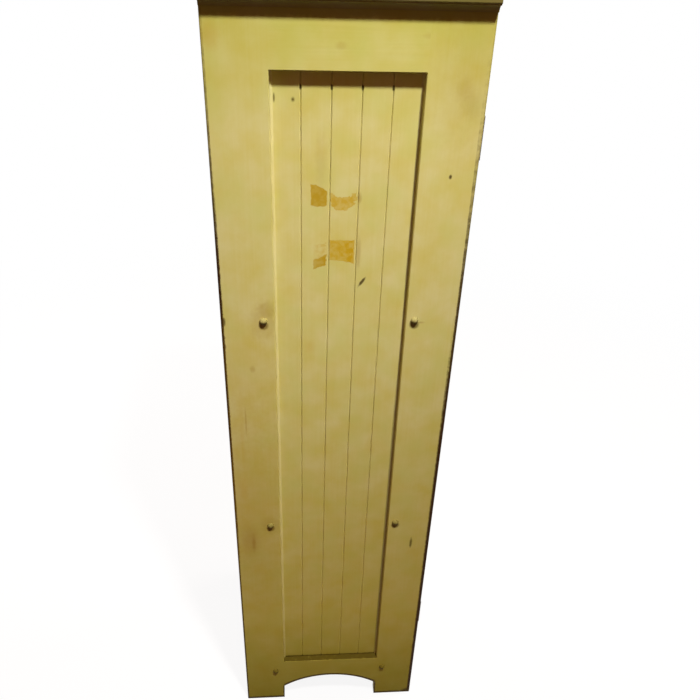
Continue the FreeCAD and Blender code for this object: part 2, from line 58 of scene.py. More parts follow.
# Faces and edges of the cabinet, read from its own solids.
FRONT_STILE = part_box("left_front_stile")
REAR_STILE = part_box("left_rear_stile")
DOOR_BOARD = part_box("door_board_2")
BACK_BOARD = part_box("back_board_2")
SIDE_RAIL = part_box("left_bottom_rail")
DOOR_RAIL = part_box("door_bottom_rail")
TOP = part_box("top_board")
SIDE_X = FRONT_STILE[0].x
INNER_X = FRONT_STILE[1].x
FRONT_Y = FRONT_STILE[0].y
REAR_Y = REAR_STILE[1].y
PANEL_FRONT_Y = FRONT_STILE[1].y
PANEL_REAR_Y = REAR_STILE[0].y
INNER_FRONT_Y = DOOR_BOARD[1].y
INNER_REAR_Y = BACK_BOARD[0].y
CASE_TOP = TOP[0].z
SIDE_LEDGE = SIDE_RAIL[1].z
DOOR_LEDGE = DOOR_RAIL[1].z
SIDE_PITCH = abs(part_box("left_board_3")[0].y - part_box("left_board_2")[0].y)
DOOR_PITCH = abs(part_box("door_board_3")[0].x - DOOR_BOARD[0].x)
BACK_PITCH = abs(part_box("back_board_3")[0].x - BACK_BOARD[0].x)

# Places on the photographed side: the arch's rise, how far the plugs are from the rear edge, and the nail's
# place from that edge and above the floor.
ARCH_RISE = 44 * MM
PLUGS_ALONG_MM = (80.5, 371)
PANEL_NAIL_MM = (140.4, 1656.3)

# Rows of like nodes, and where the screws and nails of a row stand as shares of its length.
SHELVES = ("bottom_shelf", "lower_shelf", "upper_shelf")
PANEL_BOARDS = 5
BACK_BOARDS = 4
QUARTERS = (0.25, 0.75)
NEAR_ENDS = (0.15, 0.85)


def numbered(stem, count):
    """Names of a row of like nodes, which count from 1."""
    return [f"{stem}_{number}" for number in range(1, count + 1)]


def spread(start, end, shares):
    """Places between a start and an end, by their shares of the way."""
    return [start + (end - start) * share for share in shares]


def linear(code):
    """An sRGB hex colour as linear red, green and blue."""
    shares = np.array([int(code[i:i + 2], 16) for i in (0, 2, 4)]) / 255
    low = shares / 12.92
    high = ((shares + 0.055) / 1.055) ** 2.4
    return tuple(float(v) for v in np.where(shares <= 0.04045, low, high))


def colour_property(name, description, code):
    """A colour that the user can change, given as sRGB hex."""
    return FloatVectorProperty(name=name, description=description, subtype="COLOR", size=3, min=0, max=1,
                               default=linear(code))


def number_property(name, description, value, **kind):
    """A number that the user can change."""
    return FloatProperty(name=name, description=description, default=value, **kind)


def length_property(name, description, metres):
    """A length that the user can change."""
    return number_property(name, description, metres, subtype="DISTANCE", unit="LENGTH", min=0)


def place_property(name, description, place):
    """A place that the user can change."""
    return FloatVectorProperty(name=name, description=description, subtype="TRANSLATION", unit="LENGTH",
                               size=3, default=place)


class CabinetPaint(bpy.types.PropertyGroup):
    cream: colour_property("Cream", "Main tone of the paint", "D8CE89")
    yellowed: colour_property("Yellowed", "Tone of the paint where it has yellowed", "D1C36A")
    greened: colour_property("Greened", "Tone of the paint where it has dulled to olive", "CBC86E")
    # The next two darken and yellow the paint towards the floor; the third is painted shade near the top.
    film: colour_property("Film", "Tint of the yellow film that thickens to the floor", "E5D990")
    floor_tint: colour_property("Floor dirt", "Tint of the dirt splashed up from the floor", "CCD3B8")
    dust: colour_property("Dust", "Tint of the dust on the upper face of the top", "C9BFA2")
    top_shade: colour_property("Smoke", "Tint of the smoke under the top", "E8ECC2")
    # The next tone serves as dirt and also as painted shade: under and on the plugs, at the seam heads,
    # beside the front beads and under the top.
    dirt_and_shade: colour_property("Grime", "Dirt in seams, on ledges and round the feet", "493A0A")
    undercoat: colour_property("Undercoat", "Older coat that shows where the paint has come off", "B8951C")
    golden: colour_property("Golden undercoat", "The older coat where it is thickest", "C49C02")
    # The next tone is laid on the panel beads as a painted highlight.
    rubbed: colour_property("Rubbed paint", "Paint kept pale by wiping, on the panel beads", "EDE2B2")
    worn_edge: colour_property("Worn edge", "Dark wood along rubbed edges and in chips", "38220E")
    stain: colour_property("Stain", "Brown drips and smudges", "9A7226")
    brush_width: length_property("Brush mark width", "Distance between brush marks", 4 * MM)
    brush_length: length_property("Brush mark length", "Length of a brush mark", 200 * MM)
    blotch: length_property("Blotch size", "Size of the uneven patches in the paint", 55 * MM)
    bead: length_property("Panel bead", "Reach of the hollow bead between a stile and the boards", 5.2 * MM)


class CabinetTimber(bpy.types.PropertyGroup):
    pale: colour_property("Pale wood", "Soft early wood of old pine", "BD9560")
    dark: colour_property("Dark wood", "Hard late wood between the pale bands", "956A3C")
    knot: colour_property("Knot", "Knots in the pine", "4E2E14")
    ring: length_property("Grain width", "Width of one band of grain on a flat board", 6 * MM)
    fibre: length_property("Fibre width", "Width of the fine streaks", 1.6 * MM)
    knot_spacing: length_property("Knot spacing", "Distance between knots across the grain", 110 * MM)


class CabinetIron(bpy.types.PropertyGroup):
    iron: colour_property("Iron", "Dull iron of hinges, nails and screws", "332D29")
    rust: colour_property("Rust", "Rust bloom on the iron", "5E3418")
    pitting: length_property("Pitting", "Size of the rust specks", 3 * MM)
    screw_radius: length_property("Screw head radius", "Radius of a screw head", 3.6 * MM)
    screw_rise: length_property("Screw head rise", "How far a screw head stands proud", 0.4 * MM)
    slot_width: length_property("Screw slot width", "Width of the slot in a screw head", 1 * MM)
    nail_radius: length_property("Nail head radius", "Radius of a nail head", 1.6 * MM)
    nail_rise: length_property("Nail head rise", "How far a nail head stands proud", 0.3 * MM)
    sunk: length_property("Head depth", "How far a screw or nail head goes into the surface", 0.5 * MM)
    leaf_screws: IntProperty(name="Leaf screws", description="Screws in each hinge leaf", min=1, default=3)


class CabinetStage(bpy.types.PropertyGroup):
    floor: colour_property("Floor", "Pale floor", "F4F2EE")
    floor_reach: length_property("Floor reach", "Half the width of the floor", 30.0)
    fade_start: length_property("Fade start", "Where the floor starts to fade into the background", 0.6)
    fade_end: length_property("Fade end", "Where the floor is as white as the background", 3.0)
    bounce: colour_property("Floor bounce", "How the floor looks to light that bounces off it", "6E6A64")
    key_power: number_property("Key lamp", "Power of the main lamp", 15.9, unit="POWER")
    key_size: length_property("Key lamp size", "Width of the main lamp", 0.22)
    key_spread: number_property("Key lamp spread", "Angle of the main lamp's beam", math.radians(60),
                                subtype="ANGLE", unit="ROTATION")
    key_out: length_property("Key lamp distance", "How far the main lamp is off the photographed side", 1.2)
    key_along: length_property("Key lamp along", "How far the main lamp stands towards the front", 0.475)
    key_height: length_property("Key lamp height", "Height of the main lamp", 4.05)
    key_aim: length_property("Key lamp aim", "Height that the main lamp points at", 1.1)
    key_aim_back: length_property("Key lamp aim back", "How far to the rear the main lamp points", 0.07)
    side_power: number_property("Side lamps", "Power of each lamp on the other sides", 70.0, unit="POWER")
    side_size: length_property("Side lamp size", "Width of each lamp on the other sides", 1.6)
    front_lamp: place_property("Front lamp", "Place of the lamp before the front", (0.7, -2.6, 2.3))
    rear_lamp: place_property("Rear lamp", "Place of the lamp behind the right side", (2.1, 1.9, 2.3))
    shade: colour_property("Shade", "Tint of the dim light from all round that fills the shadows", "FFAA82")
    ambient: number_property("Ambient", "Strength of the light from all round", 0.225)
    lens: number_property("Lens", "Focal length of the camera in millimetres", 38.57)
    camera_out: length_property("Camera distance", "How far the camera is off the photographed side", 1.2263)
    camera_along: length_property("Camera along", "Camera's place forward of the rear edge", 0.1384)
    camera_height: length_property("Camera height", "Height of the camera", 1.9949)
    aim_along: length_property("Aim along", "Place that the camera looks at, from the rear edge", 0.2484)
    aim_height: length_property("Aim height", "Height that the camera looks at", 1.176)
    roll: number_property("Camera roll", "Turn of the camera about its own line of sight",
                          math.radians(2.284), subtype="ANGLE", unit="ROTATION")


# Materials: the roughness of each finish, the IOR of paint and wood, the depth of each relief, and the size
# of the flakes that break up the edge of a mark.
BARE_ROUGHNESS = 0.72
PAINT_ROUGHNESS = 0.5
WOOD_IOR = 1.5
GRAIN_RELIEF = 0.3 * MM
BRUSH_RELIEF = 0.4 * MM
PIT_RELIEF = 0.2 * MM
FLAKE = 9 * MM

# Settings that many nodes share.
MULTIPLY_ADD = {"operation": "MULTIPLY_ADD"}
MULTIPLY = {"operation": "MULTIPLY"}
SUBTRACT = {"operation": "SUBTRACT"}
MAXIMUM = {"operation": "MAXIMUM"}
SMOOTH = {"interpolation_type": "SMOOTHSTEP"}
COLOURS = {"data_type": "RGBA"}
TINTED = {"data_type": "RGBA", "blend_type": "MULTIPLY"}

# Sockets of a node that mixes colours.
SHARE, UNDER, OVER = 0, 6, 7
MIXED = 2


def add(tree, kind, settings=None, inputs=None, out=0):
    """Adds a node with its settings, sets or links its inputs, and returns an output. Colours are opaque."""
    made = tree.nodes.new("ShaderNode" + kind)
    for key, value in (settings or {}).items():
        setattr(made, key, value)
    for key, value in (inputs or {}).items():
        socket = made.inputs[key]
        if isinstance(value, bpy.types.NodeSocket):
            tree.links.new(value, socket)
        else:
            socket.default_value = (*value, 1.0) if socket.type == "RGBA" else value
    return made.outputs[out] if made.outputs else made


def new_material(name):
    """A new material with an empty node tree."""
    material = bpy.data.materials.new(name)
    material.use_nodes = True
    material.node_tree.nodes.clear()
    return material, material.node_tree


def stretched(tree, place, along, width, length):
    """Coordinates in pattern units: one unit is a width across the grain and a length along it."""
    scale = [1 / width] * 3
    scale["XYZ".index(along)] = 1 / length
    return add(tree, "VectorMath", MULTIPLY, {0: place, 1: scale})


# A place on the surface whose colour differs: an ellipse or a box with a soft, broken edge, given by its
# centre and half its size.
Mark = namedtuple("Mark", "centre half colour strength soft ragged tilt boxy",
                  defaults=(1.0, 0.25, 0.6, 0.0, False))


def side_mark(along_mm, up_mm, wide_mm, high_mm, colour, **looks):
    """A mark on the photographed side, by its place from the rear edge and its height, and half its size."""
    centre = (0, REAR_Y - along_mm * MM, up_mm * MM)
    return Mark(centre, (ENDLESS, wide_mm * MM, high_mm * MM), colour, **looks)


def stain(along_mm, up_mm, wide_mm, high_mm, strength, **looks):
    """A brown stain on the photographed side."""
    return side_mark(along_mm, up_mm, wide_mm, high_mm, "stain", strength=strength, **looks)


def level_band(height, half_mm, colour, **looks):
    """A mark that runs all the way round, by its middle height and half its own."""
    return Mark((0, 0, height), (ENDLESS, ENDLESS, half_mm * MM), colour, **looks)


def mark_mask(tree, place, ragged_noise, spot):
    """How much of a mark shows: its strength inside the outline, nothing outside."""
    local = add(tree, "Mapping", {"vector_type": "TEXTURE"},
                {"Vector": place, "Location": spot.centre, "Rotation": (spot.tilt, 0, 0),
                 "Scale": spot.half})
    if spot.boxy:
        sides = add(tree, "VectorMath", {"operation": "ABSOLUTE"}, {0: local})
        split = add(tree, "SeparateXYZ", None, {0: sides}).node
        widest = add(tree, "Math", MAXIMUM, {0: split.outputs[0], 1: split.outputs[1]})
        distance = add(tree, "Math", MAXIMUM, {0: widest, 1: split.outputs[2]})
    else:
        distance = add(tree, "VectorMath", {"operation": "LENGTH"}, {0: local}, out="Value")
    edge = add(tree, "Math", MULTIPLY_ADD, {0: ragged_noise, 1: spot.ragged, 2: distance})
    middle = 1 + spot.ragged / 2
    return add(tree, "MapRange", SMOOTH,
               {"Value": edge, "From Min": middle + spot.soft, "From Max": middle - spot.soft,
                "To Min": 0, "To Max": spot.strength})


# A tear in the paint on the photographed side, in millimetres: where it starts and ends from the rear edge,
# and the heights of its upper and lower edges at the left, the middle and the right.
# A tear leans when its colour strengthens to the right.
Tear = namedtuple("Tear", "left right top bottom colour strength ragged mottle lean")

# Half the width of a tear's edge, and the noise at which the torn coat is most mottled and is whole.
TEAR_EDGE = 0.9 * MM
MOTTLED, WHOLE = 0.62, 0.42


def edge_height(tree, share, heights):
    """Height of a tear's edge: a parabola through its heights at the left, the middle and the right."""
    left, middle, right = (height * MM for height in heights)
    bent = add(tree, "Math", MULTIPLY_ADD,
               {0: share, 1: (left + right) / 2 - middle, 2: (right - left) / 2})
    return add(tree, "Math", MULTIPLY_ADD, {0: bent, 1: share, 2: middle})


def tear_mask(tree, place, ragged_noise, tear):
    """How much of a tear shows: the least distance to its four edges, roughened, turned into a share."""
    split = add(tree, "SeparateXYZ", None, {0: place}).node
    half = (tear.right - tear.left) / 2 * MM
    middle = REAR_Y - (tear.right + tear.left) / 2 * MM
    share = add(tree, "Math", MULTIPLY_ADD, {0: split.outputs[1], 1: -1 / half, 2: middle / half})
    under = add(tree, "Math", SUBTRACT, {0: edge_height(tree, share, tear.top), 1: split.outputs[2]})
    over = add(tree, "Math", SUBTRACT, {0: split.outputs[2], 1: edge_height(tree, share, tear.bottom)})
    off = add(tree, "Math", {"operation": "ABSOLUTE"}, {0: share})
    beside = add(tree, "Math", MULTIPLY_ADD, {0: off, 1: -half, 2: half})
    least = add(tree, "Math", {"operation": "MINIMUM"}, {0: under, 1: over})
    least = add(tree, "Math", {"operation": "MINIMUM"}, {0: least, 1: beside})
    edge = add(tree, "Math", MULTIPLY_ADD, {0: ragged_noise, 1: tear.ragged * MM, 2: least})
    limit = tear.ragged * MM / 2
    mask = add(tree, "MapRange", SMOOTH,
               {"Value": edge, "From Min": limit - TEAR_EDGE, "From Max": limit + TEAR_EDGE,
                "To Max": tear.strength})
    mottled = add(tree, "MapRange", None, {"Value": ragged_noise, "From Min": MOTTLED, "From Max": WHOLE,
                                           "To Min": 1 - tear.mottle, "To Max": 1})
    leaning = add(tree, "Math", MULTIPLY_ADD, {0: share, 1: tear.lean, 2: 1})
    patchy = add(tree, "Math", MULTIPLY, {0: mottled, 1: leaning})
    return add(tree, "Math", {"operation": "MULTIPLY", "use_clamp": True}, {0: mask, 1: patchy})


# A row of boards: the axis across it, a place where one board meets the next, and the width of a board.
Boards = namedtuple("Boards", "axis start pitch")

# How far apart the figures of neighbouring boards lie in the pattern, more than a board is long.
FIGURE_SHIFT = (3.1, 4.7, 2.3)


def board_numbers(tree, place, row):
    """How many boards a point is from a row's start, in board widths."""
    across = add(tree, "SeparateXYZ", None, {0: place}, out="XYZ".index(row.axis))
    from_start = add(tree, "Math", SUBTRACT, {0: across, 1: row.start})
    return add(tree, "Math", {"operation": "DIVIDE"}, {0: from_start, 1: row.pitch})


def own_figure(tree, place, row):
    """Moves the pattern far off for each board of a row, so that no figure runs on over a joint."""
    board = add(tree, "Math", {"operation": "FLOOR"}, {0: board_numbers(tree, place, row)})
    away = add(tree, "VectorMath", {"operation": "SCALE"}, {0: FIGURE_SHIFT, "Scale": board})
    return add(tree, "VectorMath", {"operation": "ADD"}, {0: place, 1: away})


# Pine: the bands of grain in one wave of the noise, that wave's width and length in bands, a knot's edge and
# core as shares of the knot spacing, and how many times longer than wide knots' cells and fibres are.
BANDS = 26
WAVE_WIDTH, WAVE_LENGTH = 9, 160
KNOT_EDGE, KNOT_CORE = 0.09, 0.03
KNOT_STRETCH = 4
FIBRE_STRETCH = 45


def pine_grain(tree, place, timber, along):
    """Colour and height of flat-sawn pine: level lines of a long, slow noise make the arched bands of
    grain, fine stretched noise makes the fibres, and widely spaced cells make the knots."""
    slow = stretched(tree, place, along, timber.ring * WAVE_WIDTH, timber.ring * WAVE_LENGTH)
    waves = add(tree, "TexNoise", None, {"Vector": slow, "Scale": 1, "Detail": 1, "Roughness": 0.35})
    cells = stretched(tree, place, along, timber.knot_spacing, timber.knot_spacing * KNOT_STRETCH)
    to_knot = add(tree, "TexVoronoi", None, {"Vector": cells, "Scale": 1})
    knot = add(tree, "MapRange", SMOOTH, {"Value": to_knot, "From Min": KNOT_EDGE, "From Max": KNOT_CORE})
    bent = add(tree, "Math", MULTIPLY_ADD, {0: knot, 1: 0.12, 2: waves})
    bands = add(tree, "Math", MULTIPLY, {0: bent, 1: BANDS})
    band = add(tree, "Math", {"operation": "PINGPONG"}, {0: bands, 1: 1})
    fine = stretched(tree, place, along, timber.fibre, timber.fibre * FIBRE_STRETCH)
    fibre = add(tree, "TexNoise", None, {"Vector": fine, "Scale": 1, "Detail": 2})
    tone = add(tree, "Math", MULTIPLY_ADD, {0: fibre, 1: 0.9, 2: band})
    share = add(tree, "MapRange", SMOOTH, {"Value": tone, "From Min": 0.4, "From Max": 1.6, "To Max": 0.6})
    wood = add(tree, "Mix", COLOURS, {SHARE: share, UNDER: timber.pale, OVER: timber.dark}, out=MIXED)
    colour = add(tree, "Mix", COLOURS, {SHARE: knot, UNDER: wood, OVER: timber.knot}, out=MIXED)
    return colour, tone


def bare_pine(name, timber, along, row=None):
    """Old planed pine, never finished: dry and dull, with raised grain that catches side light."""
    material, tree = new_material(name)
    place = add(tree, "TexCoord", out="Object")
    if row:
        place = own_figure(tree, place, row)
    colour, height = pine_grain(tree, place, timber, along)
    bump = add(tree, "Bump", None, {"Height": height, "Strength": 0.25, "Distance": GRAIN_RELIEF})
    surface = add(tree, "BsdfPrincipled", None,
                  {"Base Color": colour, "Roughness": BARE_ROUGHNESS, "IOR": WOOD_IOR,
                   "Specular IOR Level": 0.3, "Normal": bump})
    add(tree, "OutputMaterial", None, {"Surface": surface})
    return material


# Where paint stops: everything inside the case is bare wood.
SKIN = 0.5 * MM
INSIDE_HALF = (abs(INNER_X) + SKIN, (INNER_REAR_Y - INNER_FRONT_Y) / 2 + SKIN, CASE_TOP / 2 + SKIN)
INSIDE = Mark((0, (INNER_FRONT_Y + INNER_REAR_Y) / 2, CASE_TOP / 2), INSIDE_HALF, None, soft=0.0005,
              ragged=0.0, boxy=True)

# Tints of the paint by height: the height where each starts, the height where it is full, and its tint. The
# first two darken and yellow the paint towards the floor, and the third is painted shade that darkens it
# towards the top.
HEIGHT_TINTS = ((1.2, 0.0, "film"), (0.35, 0.0, "floor_tint"), (1.6, 1.8, "top_shade"))
TOP_FILMS = ((TOP[1].z - 3 * MM, TOP[1].z - 1 * MM, "dust"),)

# Painted light in the seams: how much paler the paint is made there to lift the shade in the grooves, how
# far that reaches from the seam, and the heights between which it grows downwards.
SEAM_PAINTED_LIGHT = (1.24, 1.28, 1.5)
SEAM_REACH = 2.2 * MM
SEAM_CORE = 1 * MM
LIGHT_START, LIGHT_END = 1.0, 0.2


def cream_paint(name, context, along, marks=(), row=None, films=HEIGHT_TINTS):
    """Oil paint brushed on pine and aged: dulled, uneven and yellowed, with faint brush marks, tints that
    darken and yellow it towards the floor, painted shade that darkens it towards the top, painted light that
    pales the lower seams against their shade, and marks where it is chipped, stained or dirty, some of them
    painted shade. It leaves off inside the case, where the same boards are bare pine."""
    paint = context.scene.cabinet_paint
    timber = context.scene.cabinet_timber
    material, tree = new_material(name)
    place = add(tree, "TexCoord", out="Object")
    blotch = add(tree, "TexNoise", None, {"Vector": place, "Scale": 1 / paint.blotch, "Detail": 4})
    streaks = stretched(tree, place, along, paint.brush_width, paint.brush_length)
    brush = add(tree, "TexNoise", None, {"Vector": streaks, "Scale": 1, "Detail": 2})
    uneven = add(tree, "Math", MULTIPLY_ADD, {0: brush, 1: 0.2, 2: blotch})
    yellow = add(tree, "MapRange", None, {"Value": uneven, "From Min": 0.42, "From Max": 0.82})
    colour = add(tree, "Mix", COLOURS, {SHARE: yellow, UNDER: paint.cream, OVER: paint.yellowed}, out=MIXED)
    spots = add(tree, "TexNoise", None, {"Vector": place, "Scale": 0.8 / paint.blotch, "Detail": 3})
    green = add(tree, "MapRange", None, {"Value": spots, "From Min": 0.42, "From Max": 0.72, "To Max": 0.6})
    colour = add(tree, "Mix", COLOURS, {SHARE: green, UNDER: colour, OVER: paint.greened}, out=MIXED)
    height = add(tree, "SeparateXYZ", None, {0: place}, out=2)
    for start, end, tint in films:
        depth = add(tree, "MapRange", None, {"Value": height, "From Min": start, "From Max": end})
        colour = add(tree, "Mix", TINTED,
                     {SHARE: depth, UNDER: colour, OVER: getattr(paint, tint)}, out=MIXED)
    broken = add(tree, "TexNoise", None, {"Vector": place, "Scale": 1 / FLAKE, "Detail": 3})
    if row:
        number = board_numbers(tree, place, row)
        off_joint = add(tree, "Math", {"operation": "PINGPONG"}, {0: number, 1: 0.5})
        to_seam = add(tree, "Math", MULTIPLY, {0: off_joint, 1: row.pitch})
        groove = add(tree, "MapRange", SMOOTH,
                     {"Value": to_seam, "From Min": SEAM_REACH, "From Max": SEAM_CORE})
        # Painted light: the paint is made paler in the grooves, more so lower down, against the shade that
        # falls in them.
        lift_below = add(tree, "MapRange", None,
                     {"Value": height, "From Min": LIGHT_START, "From Max": LIGHT_END, "To Min": 0.35})
        seam_light = add(tree, "Math", MULTIPLY, {0: groove, 1: lift_below})
        colour = add(tree, "Mix", TINTED, {SHARE: seam_light, UNDER: colour, OVER: SEAM_PAINTED_LIGHT}, out=MIXED)
    for spot in marks:
        mask_of = tear_mask if isinstance(spot, Tear) else mark_mask
        mask = mask_of(tree, place, broken, spot)
        colour = add(tree, "Mix", COLOURS,
                     {SHARE: mask, UNDER: colour, OVER: getattr(paint, spot.colour)}, out=MIXED)
    inside = mark_mask(tree, place, broken, INSIDE)
    wood, grain = pine_grain(tree, own_figure(tree, place, row) if row else place, timber, along)
    colour = add(tree, "Mix", COLOURS, {SHARE: inside, UNDER: colour, OVER: wood}, out=MIXED)
    rough = add(tree, "MapRange", None,
                {"Value": inside, "To Min": PAINT_ROUGHNESS, "To Max": BARE_ROUGHNESS})
    relief = add(tree, "Math", MULTIPLY_ADD, {0: grain, 1: 0.25, 2: brush})
    bump = add(tree, "Bump", None, {"Height": relief, "Strength": 0.2, "Distance": BRUSH_RELIEF})
    surface = add(tree, "BsdfPrincipled", None,
                  {"Base Color": colour, "Roughness": rough, "IOR": WOOD_IOR, "Specular IOR Level": 0.05,
                   "Normal": bump})
    add(tree, "OutputMaterial", None, {"Surface": surface})
    return material


def dull_iron(name, iron):
    """Old wrought and cast iron, oiled and rusted in specks: dark, with broad soft highlights."""
    material, tree = new_material(name)
    place = add(tree, "TexCoord", out="Object")
    specks = add(tree, "TexNoise", None, {"Vector": place, "Scale": 1 / iron.pitting, "Detail": 5})
    rusty = add(tree, "MapRange", SMOOTH, {"Value": specks, "From Min": 0.48, "From Max": 0.66})
    colour = add(tree, "Mix", COLOURS, {SHARE: rusty, UNDER: iron.iron, OVER: iron.rust}, out=MIXED)
    rough = add(tree, "MapRange", None, {"Value": rusty, "To Min": 0.42, "To Max": 0.8})
    metal = add(tree, "MapRange", None, {"Value": rusty, "To Min": 0.9, "To Max": 0.1})
    bump = add(tree, "Bump", None, {"Height": specks, "Strength": 0.3, "Distance": PIT_RELIEF})
    surface = add(tree, "BsdfPrincipled", None,
                  {"Base Color": colour, "Roughness": rough, "Metallic": metal, "Normal": bump})
    add(tree, "OutputMaterial", None, {"Surface": surface})
    return material


def finish(nodes, material):
    """Gives CAD nodes a material in place of the one that they came with."""
    for name in nodes:
        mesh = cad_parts[name].data
        mesh.materials.clear()
        mesh.materials.append(material)


def paint_nodes(nodes, where, context, along, marks=(), **rest):
    """Paints CAD nodes, brushed along an axis, with a paint named for where they are."""
    finish(nodes, cream_paint(f"cream paint on {where}", context, along, marks, **rest))


# Wear of the paint, and shade painted on it. The places of the photographed side's marks are measured from
# that side's rear edge. Soot and painted shade lie under the overhanging top, and dirt round the ends of
# the feet.
SOOT_AND_SHADE = level_band(CASE_TOP, 27, "dirt_and_shade", strength=0.4, soft=0.2, ragged=0.4)
FOOT_DIRT = level_band(0, 8, "worn_edge", strength=0.85, soft=0.4, ragged=0.7)


def rubbed_edges(sign):
    """Dark wood where the upright corners of a side have been rubbed, with dirt round the feet, and soot and
    painted shade under the top.

    A stretch has the place of its corner, its middle height and half its height, how far it reaches round
    the corner and over the side in millimetres, and its strength.
    """
    x = sign * abs(SIDE_X)
    stretches = ((FRONT_Y, 0.9, 0.95, 4, 2.2, 0.35), (FRONT_Y, 0.55, 0.96, 6, 6, 0.95),
                 (FRONT_Y, 0.4, 0.7, 7, 8.2, 0.95), (REAR_Y, 0.7, 1.0, 4, 4, 0.85),
                 (REAR_Y, 1.05, 0.4, 5, 5.2, 1.0), (PANEL_FRONT_Y, 0.025, 0.03, 5, 3.2, 0.85),
                 (PANEL_REAR_Y, 0.025, 0.03, 5, 3.2, 0.85))
    rubbed = [Mark((x, y, middle), (round_mm * MM, over_mm * MM, half), "worn_edge", strength=strength,
                   soft=0.25, ragged=0.35, boxy=True)
              for y, middle, half, round_mm, over_mm, strength in stretches]
    return [*rubbed, FOOT_DIRT, SOOT_AND_SHADE]


def panel_marks():
    """Two places where the paint came off to the undercoat across two boards, a chip below them, stains,
    dirt round the nail, painted shadow beside the front bead and at the heads of the seams, and dirt along
    the foot of the boards."""
    return [
        Tear(170, 198.8, (1511.6, 1508, 1499.9), (1473.8, 1471, 1473), "undercoat", 0.94, 7, 0.15, 0),
        Tear(204.8, 249.4, (1494.4, 1488.5, 1495.3), (1472, 1463, 1478), "golden", 0.8, 26, 0.35, 0),
        Tear(175.9, 198.9, (1396, 1399, 1402), (1364, 1369, 1374.4), "golden", 0.35, 14, 0.8, 0.3),
        Tear(175.9, 198.9, (1366, 1371, 1376), (1347, 1351, 1356), "undercoat", 0.9, 11, 0.2, 0.1),
        Tear(205, 249.9, (1406, 1405, 1406), (1366, 1364, 1358.5), "golden", 0.86, 7, 0.35, 0.1),
        stain(256, 1487, 3.5, 9, 0.4, soft=0.6),
        stain(258.5, 1380, 3.5, 28, 0.35, soft=0.6),
        stain(187, 1552, 8, 42, 0.14, soft=0.8, ragged=1.2),
        side_mark(266.5, 1319.5, 2.6, 11, "worn_edge", tilt=0.55, soft=0.4, ragged=1.2, strength=0.85),
        side_mark(109.6, 1658.7, 1.8, 7, "dirt_and_shade", strength=0.7, soft=0.5, ragged=0.5),
        side_mark(*PANEL_NAIL_MM, 2.6, 3.6, "dirt_and_shade", strength=0.6, soft=0.6, ragged=0.5),
        side_mark(170, 1174, 9, 12, "golden", strength=0.2, soft=0.8),
        # Painted shadow on the boards along the front stile's edge.
        side_mark(349, 560, 1.4, 450, "dirt_and_shade", strength=0.5, soft=0.3, ragged=0.3, boxy=True),
        panel_foot_dirt(SIDE_LEDGE),
        *seam_head_shadows(),
    ]


def seam_head_shadows():
    """Painted shadow in the head of each seam between the boards, where the top rail's shadow reaches
    further down the grooves.
    """
    first = (REAR_Y - PANEL_REAR_Y) / MM
    return [side_mark(first + number * SIDE_PITCH / MM, 1676, 2, 4.5, "dirt_and_shade", strength=0.85, soft=0.4)
            for number in range(1, PANEL_BOARDS)]


def panel_foot_dirt(ledge):
    """Dirt along the foot of the boards, above a ledge."""
    return level_band(ledge, 4.5, "dirt_and_shade", strength=0.85, soft=0.4, ragged=0.8)


def ledge_dirt(ledge):
    """Dirt on a rail's upper edge, uneven because the band is centred a little above it."""
    return level_band(ledge + 1.5 * MM, 2.2, "dirt_and_shade", strength=0.92, soft=0.3, ragged=0.7)


def arch_line():
    """A dark line where the paint is worn along a side's arch, which is an arc of a circle."""
    half = (PANEL_REAR_Y - PANEL_FRONT_Y) / 2
    radius = (half * half + ARCH_RISE * ARCH_RISE) / (2 * ARCH_RISE)
    centre = (0, (PANEL_REAR_Y + PANEL_FRONT_Y) / 2, SIDE_RAIL[0].z + ARCH_RISE - radius)
    reach = radius + 7 * MM
    return Mark(centre, (ENDLESS, reach, reach), "worn_edge", strength=0.85, soft=0.006, ragged=0.01)


def rear_stile_marks():
    """Stains round the plugs and down the rear stile, and knocks along its edge."""
    return [
        side_mark(12, 1757, 13, 19, "undercoat", strength=0.4, soft=0.8),
        stain(80.5, 1240, 24, 34, 0.18, soft=0.5, ragged=1.1),
        stain(86, 1269, 15, 18, 0.22, soft=0.5, ragged=0.8),
        side_mark(5, 1243, 4, 9, "worn_edge", strength=0.75, soft=0.4),
        side_mark(4, 1207, 2.6, 5, "worn_edge", strength=0.6, soft=0.4),
        side_mark(4, 1186, 2.8, 6, "worn_edge", strength=0.6, soft=0.4),
        stain(56, 1132, 5, 7, 0.3, soft=0.6),
        stain(37, 1000, 1.8, 30, 0.35, soft=0.6),
        stain(40, 632, 4, 24, 0.45, soft=0.7),
        stain(33, 642, 18, 42, 0.3, soft=0.8),
        side_mark(28, 960, 4, 90, "golden", strength=0.15, soft=0.8),
        side_mark(24, 800, 8, 25, "golden", strength=0.25, soft=0.8),
        stain(50, 720, 70, 260, 0.16, soft=0.9, ragged=0.9),
        side_mark(45, 790, 60, 170, "golden", strength=0.16, soft=0.9, ragged=0.9),
        side_mark(50, 1130, 60, 110, "golden", strength=0.12, soft=0.9, ragged=0.9),
        stain(80.5, 690, 20, 22, 0.2, soft=0.6, ragged=0.9),
    ]


def front_stile_marks():
    """A hole, hand stains at the top, a scratch, a drip and a dirty foot on the front stile."""
    return [
        side_mark(410.3, 1532.7, 2.6, 4, "worn_edge", strength=0.85, soft=0.5, ragged=0.6),
        stain(425, 1710, 50, 110, 0.14, soft=0.9, ragged=0.9),
        stain(434, 1655, 15, 20, 0.15, soft=0.8),
        stain(417, 1680, 12, 18, 0.15, soft=0.8),
        stain(384, 1238.5, 6, 2, 0.4, soft=0.7),
        side_mark(413, 618, 2.8, 16, "dirt_and_shade", strength=0.75, soft=0.45, ragged=0.9),
        side_mark(449, 8, 14, 10, "dirt_and_shade", strength=0.8, soft=0.5, ragged=0.8),
    ]


